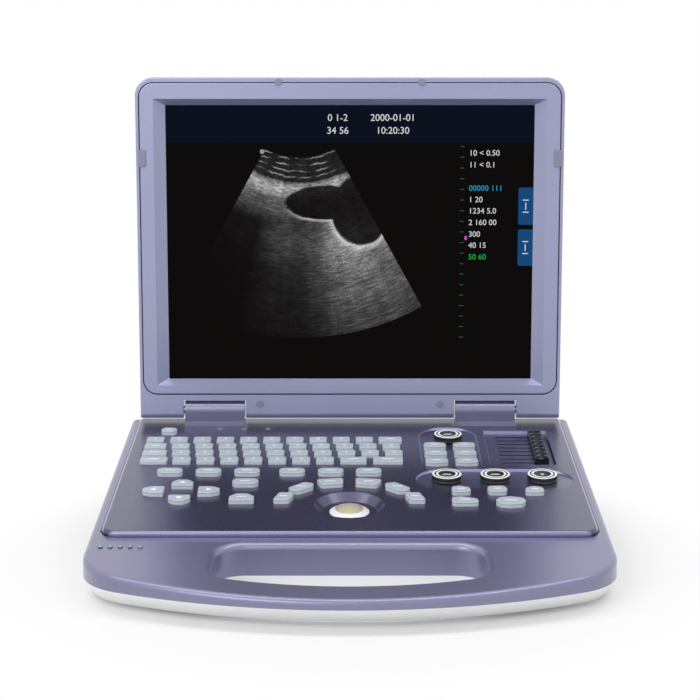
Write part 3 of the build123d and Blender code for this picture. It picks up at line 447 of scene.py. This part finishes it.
# ------------------------------------------------------------------ knobs
# Four turned black knobs, each with a white ring printed on its rim and on the step inside it, a
# dark dish in the middle with one white mark, and fine ribs round its side for grip.
KNOBS = [(0.0805, 0.047), (0.0747, 0.141), (0.112, 0.141), (0.1483, 0.141)]
KNOB_PROFILE = [  # radius and height above the panel in mm, and the finish of the face that ends there
    (0.0, 4.1, 0), (5.8, 4.1, 0), (6.3, 4.25, 0), (6.6, 4.55, 0), (6.8, 4.7, 0), (8.45, 4.7, 1),
    (8.6, 4.5, 0), (8.7, 3.9, 0), (9.4, 3.9, 0), (9.5, 4.5, 0), (9.65, 4.7, 0), (11.15, 4.7, 1),
    (11.32, 4.5, 1), (11.35, 1.7, 0), (11.5, 1.1, 0), (11.8, 0.9, 0), (11.8, 0.5, 0), (0.0, 0.5, 0)]
RIB_COUNT = 72
knob_black = moulded("knob_plastic", "29292b", 0.34)


def lathe(form, profile, steps, place):
    """Add to a mesh a profile turned about its own axis at a place. It starts and ends on the axis."""
    rings = []
    for radius, height, _ in profile:
        count = steps if radius else 1
        spots = [(radius * cos(tau * i / count), radius * sin(tau * i / count), height) for i in range(count)]
        rings.append([form.verts.new(place @ (Vector(spot) / 1000.0)) for spot in spots])
    for inner, outer, (_, _, finish) in zip(rings, rings[1:], profile[1:]):
        for i in range(steps):
            j = (i + 1) % steps
            corners = [ring[k % len(ring)] for ring, k in ((inner, i), (outer, i), (outer, j), (inner, j))]
            form.faces.new(list(dict.fromkeys(corners))).material_index = finish
    bmesh.ops.recalc_face_normals(form, faces=form.faces)


def start_growth(name, sockets):
    """A new geometry-nodes tree with named inputs, and a wire for each of them."""
    tree = bpy.data.node_groups.new(name, "GeometryNodeTree")
    tree.interface.new_socket("Geometry", in_out="INPUT", socket_type="NodeSocketGeometry")
    for title, kind in sockets.items():
        tree.interface.new_socket(title, in_out="INPUT", socket_type="NodeSocket" + kind)
    tree.interface.new_socket("Geometry", in_out="OUTPUT", socket_type="NodeSocketGeometry")
    source = tree.nodes.new("NodeGroupInput")
    return tree, {port.name: Wire(tree, port) for port in source.outputs if port.name}


def end_growth(tree, instances, material):
    """Make the instances real, give them their material, and put them out of the tree."""
    real = instances.node("GeometryNodeRealizeInstances", {}, {"Geometry": instances}, out="Geometry")
    done = real.node("GeometryNodeSetMaterial", {}, {"Geometry": real, "Material": material}, out="Geometry")
    tree.links.new(done.socket, tree.nodes.new("NodeGroupOutput").inputs["Geometry"])


def grown(tree, values):
    """The mesh that a geometry-nodes tree makes with the values given to its named inputs."""
    start = bpy.data.meshes.new(tree.name)
    holder = bpy.data.objects.new(tree.name, start)
    bpy.context.scene.collection.objects.link(holder)
    modifier = holder.modifiers.new(tree.name, "NODES")
    modifier.node_group = tree
    for item in tree.interface.items_tree:
        if item.in_out == "INPUT" and item.name in values:
            modifier[item.identifier] = values[item.name]
    view = bpy.context.evaluated_depsgraph_get()
    mesh = bpy.data.meshes.new_from_object(holder.evaluated_get(view), depsgraph=view)
    holder.modifiers.remove(modifier)
    bpy.data.objects.remove(holder)
    return mesh


ribs, given = start_growth("grip_ribs", {"Count": "Int", "Radius": "Float", "Height": "Float",
                                         "Width": "Float", "Finish": "Material"})
radius, count = given["Radius"], given["Count"]
circle = radius.node("GeometryNodeCurvePrimitiveCircle", {}, {"Radius": radius}, out="Curve")
points = circle.node("GeometryNodeCurveToPoints", {"mode": "COUNT"}, {"Curve": circle, "Count": count},
                     out="Points")
turned = Wire(ribs, points.socket.node.outputs["Rotation"])
rib_size = given["Width"].node("ShaderNodeCombineXYZ", {}, {"X": given["Width"], "Y": given["Height"],
                                                            "Z": given["Width"]}, out="Vector")
rib = rib_size.node("GeometryNodeMeshCube", {}, {"Size": rib_size}, out="Mesh")
placed = points.node("GeometryNodeInstanceOnPoints", {}, {"Points": points, "Instance": rib,
                                                          "Rotation": turned}, out="Instances")
end_growth(ribs, placed, given["Finish"])

for i, (x, d) in enumerate(KNOBS, 1):
    place = deck @ Matrix.Translation((x, -d, 0.0))
    form = bmesh.new()
    lathe(form, KNOB_PROFILE, 96, place)
    turned_knob = finish_form(f"knob_{i}_turned", form, [knob_black, white_ink], f"knob_{i}_body",
                              30.0)
    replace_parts(turned_knob, f"knob_{i}")
    mesh = grown(ribs, {"Count": RIB_COUNT, "Radius": 0.01132, "Height": 0.0024, "Width": 0.0004,
                        "Finish": knob_black})
    mesh.transform(place @ Matrix.Translation((0.0, 0.0, 0.0030)))
    finish_piece(f"knob_{i}_ribs", mesh, [], f"knob_{i}_body")
    form = bmesh.new()
    add_bar(form, 0.0026 if i == 4 else 0.0068, 0.0022 if i == 4 else 0.0016,
            place @ Matrix.Translation((0.0, 0.0, 0.00416)))
    finish_form(f"knob_{i}_mark", form, [white_ink], f"knob_{i}_body")

# ------------------------------------------------------------------ gain sliders
# Eight glossy black caps on flat stems, side by side in the recessed tray, each with two raised
# ridges that cross it for the finger tip. A pale slanted bar on each ridge is a painted highlight.
slider_plastic = moulded("slider_plastic", "1e1e20", 0.22, drift=0.15)
ridge_painted_highlight = moulded("slider_stroke_ink", "94949c", 0.4, depth=0.05)
SLIDER_X, SLIDER_D, SLIDER_PITCH = 0.1526, 0.0348, 0.0088
for i in range(8):
    cap = f"slider_cap_{i + 1}"
    middle = deck @ Matrix.Translation((SLIDER_X, -SLIDER_D - i * SLIDER_PITCH, 0.0))
    finish_node(cap, slider_plastic)
    form = bmesh.new()
    for x in (-0.0028, 0.0028):
        place = middle @ Matrix.Translation((x, 0.0, 0.0024))
        bmesh.ops.create_cone(form, cap_ends=True, segments=4, radius1=0.0024, radius2=0.0006, depth=0.0024,
                              matrix=place @ Matrix.Diagonal((0.8, 1.15, 1.0, 1.0)))
    finish_form(cap + "_ridges", form, [slider_plastic], cap + "_body", 20.0)
    # Two pale slanted bars per cap: a painted highlight on its ridges.
    form = bmesh.new()
    for x, turn in ((-0.0028, 28.0), (0.0028, -28.0)):
        place = middle @ Matrix.Translation((x, 0.0, 0.00366))
        add_bar(form, 0.0028, 0.0007, place @ Matrix.Rotation(radians(turn), 4, "Z"))
    finish_form(cap + "_strokes", form, [ridge_painted_highlight], cap + "_body")

# ------------------------------------------------------------------ trackball
# A ball cast in ivory-coloured resin, turned and polished. It lies loose in a cup under the panel,
# and the white moulded collar round it keeps it in.
BALL_MIDDLE, BALL_RADIUS = deck @ Vector((-0.0005, -0.194, -0.0171)), 0.017
ball_resin = moulded("ball_resin", "bdb39b", 0.2, grain=300.0, depth=0.0, drift=0.08)
form = bmesh.new()
bmesh.ops.create_uvsphere(form, u_segments=96, v_segments=64, radius=BALL_RADIUS,
                          matrix=Matrix.Translation(BALL_MIDDLE))
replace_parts(finish_form("polished_ball", form, [ball_resin], "ball_body", 60.0), "trackball")
finish_node("trackball_ring", moulded("collar_plastic", "f2f2f3", 0.32))

# ------------------------------------------------------------------ lights
# Light pipes of clear resin: of the five beside the handle, which end in small domes, four are lit
# green; the other one and the three flat ends at the panel's rear edge are dark.
LIT_END, DOME_FOOT = -0.1512, -3.9
STATUS_LIGHTS = (-0.1085, -0.0886, -0.0685)
lens_resin, shader, place = start_material("lens_resin")


lit = part_of(place, "X") < LIT_END
clouds = noise(place, 900.0, 2.0)
_, _, height = on_deck(place)
# The paler colour on each dome's top is a painted highlight.
painted_highlight_spot = step(height, DOME_FOOT + 0.80, DOME_FOOT + 1.02) * (height < 0.0)
deep_resin = blend_colours(lit, colour("7b788f"), colour("2b5646"))
painted_dome_highlight = blend_colours(lit, colour("a9a6bd"), colour("8fc4ac"))
feed(shader, "Base Color", blend_colours(painted_highlight_spot, deep_resin, painted_dome_highlight))
feed(shader, "Emission Color", blend_colours(lit, colour("000000"), colour("2f8d62")))
feed(shader, "Roughness", 0.18 + clouds * 0.1)
shader.inputs["Emission Strength"].default_value = 0.12
finish_node("indicator_lenses", lens_resin)

form = bmesh.new()
for middle, width, _ in caps_of("indicator_lenses"):
    if middle.x < -0.14:
        turns = [radians(10.0 * i) for i in range(10)]
        dome = [(width * 550.0 * sin(turn), 1.1 * cos(turn), 0) for turn in turns]
        lathe(form, dome + [(0.0, 0.0, 0)], 32, deck @ Matrix.Translation(middle))
finish_form("battery_light_domes", form, [lens_resin], "base", 60.0)

form = bmesh.new()
for x in STATUS_LIGHTS:
    add_bar(form, 0.0052, 0.0020, deck @ Matrix.Translation((x, -0.0222, INK_LIFT)))
    add_bar(form, 0.0016, 0.0026, deck @ Matrix.Translation((x, -0.0240, INK_LIFT)))
finish_form("status_marks", form, [moulded("grey_ink", "8d8d98", 0.5, depth=0.05)], "base")

# ------------------------------------------------------------------ lid
# The lid's tray and the screen's surround, in the mauve lacquer at its lightest shade, with soft
# grey caps over the surround's screws and a soft pad at each side.
HINGE = deck @ Vector((0.0, -0.006, 0.012))
LID_TILT = radians(90.0 - 1.6)
lid = Matrix.Translation(HINGE) @ Matrix.Rotation(LID_TILT, 4, "X")
lid_lacquer = flake_lacquer("mauve_lid_lacquer", "989bbb")
for node in ("lid_back_cover", "lid_bezel"):
    finish_node(node, lid_lacquer)
finish_node("lid_bumpers", moulded("bumper_rubber", "85869a", 0.6))

# ------------------------------------------------------------------ screen
# A flat glass with a lit picture behind it: a dark header, and a fan of grey echoes that starts at
# a short arc. Numbers, depth marks and two blue tabs are drawn in front of it by the same display.
SCREEN_MIDDLE, SCREEN_HEIGHT, GLASS_FRONT = 140.2, 228.1, -1.2      # mm up the lid, and behind its axis
FAN_U, FAN_V, FAN_NEAR, FAN_DEEP, FAN_SPREAD = -41.4, -16.0, 59.0, 209.3, 29.0
screen_picture, shader, place = start_material("screen_picture")
local = turned_back(place, HINGE, LID_TILT)
u = part_of(local, "X") * 1000.0
v = (SCREEN_MIDDLE + SCREEN_HEIGHT / 2) - part_of(local, "Y") * 1000.0
du, dv = u - FAN_U, v - FAN_V
reach = (du * du + dv * dv) ** 0.5
angle = du.maths("ARCTAN2", du, dv) * (180.0 / 3.14159)


def combine(x, y, z=0.0):
    """A place from its three coordinates."""
    return x.node("ShaderNodeCombineXYZ", {}, {"X": x, "Y": y, "Z": z}, out="Vector")


def curve(wire, stops):
    """A value read off a ramp of grey stops."""
    grey = [(at, (level, level, level, 1.0)) for at, level in stops]
    return wire.node("ShaderNodeValToRGB", {"stops": grey}, {0: wire}, out=0)


depth = (reach - FAN_NEAR) / (FAN_DEEP - FAN_NEAR)
aside = (angle + FAN_SPREAD) / (2.0 * FAN_SPREAD)
drift = noise(combine(angle * 0.09, reach * 0.035), 1.0, 3.0)
wobble = noise(combine(angle * 0.16, reach * 0.05, 3.0), 1.0, 2.0) - 0.5
speckle = noise(combine(angle * 1.9, reach * 1.3), 1.0, 2.0, 0.7)
streak = noise(combine(angle * 0.30, reach * 0.55, 7.0), 1.0, 3.0, 0.65)
mottle = noise(combine(angle * 0.13, reach * 0.11, 11.0), 1.0, 3.0, 0.6)
rays = noise(combine(angle * 0.30, reach * 0.006, 17.0), 1.0, 2.0)
tissue = curve(depth + wobble * 0.03, [(0.0, 0.02), (0.135, 0.03), (0.15, 0.40), (0.17, 0.66), (0.21, 0.5),
                                       (0.24, 0.24), (0.36, 0.26), (0.48, 0.52), (0.7, 0.27), (1.0, 0.08)])
sideways = curve(aside + wobble * 0.10, [(0.0, 0.01), (0.22, 0.02), (0.34, 0.20), (0.42, 0.30), (0.5, 0.17),
                                         (0.62, 0.36), (0.72, 0.95), (0.9, 1.0), (1.0, 0.75)])
deep = step(depth, 0.18, 0.40)
cast = 1.0 - deep * (1.0 - sideways)
shadowed = 1.0 - step(depth, 0.36, 0.66) * step(aside, 0.62, 0.42) * 0.72
layers = depth * 190.0 + wobble * 7.0
near_lines = step(layers.maths("SINE", layers), 0.55, 1.0) * step(depth, 0.16, 0.1) * step(drift, 0.42, 0.6)
lobe = ((u + 20.0) / 33.0) ** 2.0 + ((v - 80.0) / 14.0) ** 2.0
bay = ((u - 9.0) / 24.0) ** 2.0 + ((v - 86.0) / 29.0) ** 2.0
hollow = least(lobe, bay) + wobble * 0.3 + (speckle - 0.5) * 0.12
fluid = step(hollow, 1.15, 0.92)
wall = step(hollow, 1.0, 1.08) * step(hollow, 1.5, 1.1) * step(v, 84.0, 96.0)
echo = tissue * cast * shadowed * (0.1 + streak ** 2.0 * 2.6) * (0.45 + rays * 1.1) * (0.25 + mottle * 1.5)
echo = (echo + near_lines * 0.4 + wall * (0.2 + streak * 0.6)) * (1.0 - fluid * 0.96)
echo = echo * (0.25 + speckle ** 2.0 * 3.0)
inside = (abs(angle) < FAN_SPREAD) * (reach > FAN_NEAR) * (reach < FAN_DEEP)
echo = echo * inside * 0.62
grey = least(echo, 0.9)
dot = ((u + 72.6) ** 2.0 + (v - 38.1) ** 2.0) < 3.4
grey = grey + dot * 0.3
header = v < 30.6
backing = blend_colours(header, colour("070404"), colour("050b1b"))
picture = blend_colours(grey, backing, (1.0, 1.0, 1.0, 1.0))
feed(shader, "Emission Color", picture)
feed(shader, "Roughness", 0.24 + speckle * 0.02)
shader.inputs["Base Color"].default_value = (0.001, 0.001, 0.001, 1.0)
shader.inputs["Specular IOR Level"].default_value = 0.02
shader.inputs["Emission Strength"].default_value = 1.0
finish_node("screen_glass", screen_picture)


def glowing(name, code):
    """Something the display draws in one plain colour."""
    material, shader, place = start_material(name)
    shader.inputs["Base Color"].default_value = (0.001, 0.001, 0.001, 1.0)
    shader.inputs["Specular IOR Level"].default_value = 0.02
    shader.inputs["Emission Strength"].default_value = 1.0
    fine = noise(place, 2500.0, 1.0)
    plain = colour(code)
    feed(shader, "Emission Color", blend_colours(fine, shade(plain, 0.92), plain))
    return material


def on_screen(u, v, lift=0.00008):
    """A place on the screen, from millimetres beside its middle and below its top."""
    return lid @ Matrix.Translation((u / 1000.0, (SCREEN_MIDDLE + SCREEN_HEIGHT / 2 - v) / 1000.0,
                                     GLASS_FRONT / 1000.0 + lift))


WRITING = {
    "screen_figures": ("d8d8d8", [
        (-10.1, 10.5, "0 1-2", "CENTER", 5.6), (35.3, 10.5, "2000-01-01", "CENTER", 5.6),
        (-10.1, 21.0, "34 56", "CENTER", 5.6), (35.3, 21.0, "10:20:30", "CENTER", 5.6),
        (98.4, 39.4, "10 < 0.50", "LEFT", 4.6), (98.4, 49.1, "11 < 0.1", "LEFT", 4.6),
        (98.4, 77.8, "1 20", "LEFT", 4.6), (98.4, 87.2, "1234 5.0", "LEFT", 4.6),
        (98.4, 96.8, "2 160 00", "LEFT", 4.6), (98.4, 106.5, "300", "LEFT", 4.6),
        (98.4, 115.8, "40 15", "LEFT", 4.6)]),
    "screen_figures_blue": ("2498c4", [(98.4, 68.4, "00000 111", "LEFT", 4.6)]),
    "screen_figures_green": ("1fae3c", [(98.4, 125.5, "50 60", "LEFT", 4.6)]),
}
for name, (code, lines_of_text) in WRITING.items():
    form = bmesh.new()
    for u_at, v_at, text, align, height in lines_of_text:
        add_letters(form, text, height / 1000.0, on_screen(u_at, v_at), align)
    finish_form(name, form, [glowing(name, code)], "lid")

ticks, given = start_growth("depth_ticks", {"Count": "Int", "Pitch": "Float", "Length": "Float",
                                            "Width": "Float", "Finish": "Material"})
offset = given["Pitch"].node("ShaderNodeCombineXYZ", {}, {"Y": 0.0 - given["Pitch"]}, out="Vector")
column = offset.node("GeometryNodeMeshLine", {}, {"Count": given["Count"], "Offset": offset}, out="Mesh")
tick = column.node("GeometryNodeMeshGrid", {}, {"Size X": given["Length"], "Size Y": given["Width"],
                                                "Vertices X": 2, "Vertices Y": 2}, out="Mesh")
placed = column.node("GeometryNodeInstanceOnPoints", {}, {"Points": column, "Instance": tick},
                     out="Instances")
end_growth(ticks, placed, given["Finish"])
mesh = grown(ticks, {"Count": 19, "Pitch": 0.00882, "Length": 0.0032, "Width": 0.0006,
                     "Finish": glowing("depth_tick_light", "2f5a4a")})
mesh.transform(on_screen(92.9, 33.9))
finish_piece("depth_marks", mesh, [], "lid")

form = bmesh.new()
add_bar(form, 0.0022, 0.0034, on_screen(96.2, 109.5))
finish_form("focus_mark", form, [glowing("focus_light", "c050c0")], "lid")
tab_form, sign_form = bmesh.new(), bmesh.new()
for low, high in ((67.6, 98.5), (102.3, 132.7)):
    middle = (low + high) / 2
    tall = (high - low) / 2000.0
    add_patch(tab_form, [(-0.0062, 0.0012 - tall), (-0.005, -tall), (0.0062, -tall), (0.0062, tall),
                         (-0.005, tall), (-0.0062, tall - 0.0012)], on_screen(145.8, middle))
    for dv_sign, wide, tall in ((-5.0, 5.0, 0.8), (5.0, 5.0, 0.8), (0.0, 0.8, 6.0)):
        add_bar(sign_form, wide / 1000.0, tall / 1000.0, on_screen(145.8, middle + dv_sign, 0.00016))
finish_form("side_tabs", tab_form, [glowing("tab_light", "12487a")], "lid")
finish_form("side_tab_signs", sign_form, [glowing("sign_light", "d0dcec")], "lid")

# ------------------------------------------------------------------ studio
# A pale level floor and an even white surround, with a long soft box above and a small one in
# front on the left. The floor keeps the scanner's shadow and runs out into the white round it.
FLOOR_REACH, FLOOR_GREY = 6.0, 0.88
OWN_WHITE, FADE_START, FADE_END = 0.12, 0.18, 0.30      # the floor's white by the scanner, and its fade, m
SURROUND = 0.62                                         # the surround's level as it lights the scanner
floor_mesh = bpy.data.meshes.new("floor")
corners = [(x * FLOOR_REACH, y * FLOOR_REACH, 0.0) for x, y in ((-1, -1), (1, -1), (1, 1), (-1, 1))]
floor_mesh.from_pydata(corners, [], [(0, 1, 2, 3)])
floor = bpy.data.objects.new("floor", floor_mesh)
bpy.context.scene.collection.objects.link(floor)
floor_paint = bpy.data.materials.new("floor_paint")
floor_paint.use_nodes = True
tree = floor_paint.node_tree
shader = tree.nodes["Principled BSDF"]
shader.inputs["Base Color"].default_value = (FLOOR_GREY, FLOOR_GREY, FLOOR_GREY, 1.0)
shader.inputs["Roughness"].default_value = 0.6
place = Wire(tree).node("ShaderNodeTexCoord", out="Object")
away = place.node("ShaderNodeVectorMath", {"operation": "LENGTH"}, {0: place}, out="Value")
white = away.node("ShaderNodeEmission", {}, {"Color": (1.0, 1.0, 1.0, 1.0), "Strength": 1.0})
seen = away.node("ShaderNodeLightPath", out="Is Camera Ray")
mirrored = away.node("ShaderNodeLightPath", out="Is Glossy Ray")
faded = (OWN_WHITE + step(away, FADE_START, FADE_END) * (1 - OWN_WHITE)) * most(seen, mirrored)
mixed = faded.node("ShaderNodeMixShader", {}, {0: faded, 1: Wire(tree, shader.outputs[0]), 2: white}, out=0)
tree.links.new(mixed.socket, tree.nodes["Material Output"].inputs["Surface"])
floor_mesh.materials.append(floor_paint)

world = bpy.data.worlds.new("surround")
world.use_nodes = True
bpy.context.scene.world = world
tree = world.node_tree
backdrop = tree.nodes["Background"]
backdrop.inputs["Color"].default_value = (1.0, 1.0, 1.0, 1.0)
seen = Wire(tree).node("ShaderNodeLightPath", out="Is Camera Ray")
mirrored = seen.node("ShaderNodeLightPath", out="Is Glossy Ray")
strength = SURROUND + most(seen, mirrored) * (1 - SURROUND)
tree.links.new(strength.socket, backdrop.inputs["Strength"])


def soft_box(name, place, aim, size, power):
    """A rectangular area lamp at a place, turned towards a point."""
    lamp = bpy.data.lights.new(name, "AREA")
    lamp.shape, lamp.size, lamp.size_y, lamp.energy = "RECTANGLE", size[0], size[1], power
    holder = bpy.data.objects.new(name, lamp)
    holder.location = place
    holder.rotation_euler = (Vector(aim) - Vector(place)).to_track_quat("-Z", "Y").to_euler()
    bpy.context.scene.collection.objects.link(holder)


soft_box("top_strip", (0.0, -0.14, 1.5), (0.0, 0.0, 0.1), (2.4, 0.40), 11.0)
soft_box("front_box", (-0.9, -1.8, 1.2), (0.0, 0.0, 0.15), (1.2, 1.2), 13.0)

bpy.context.scene.view_settings.view_transform = "Standard"
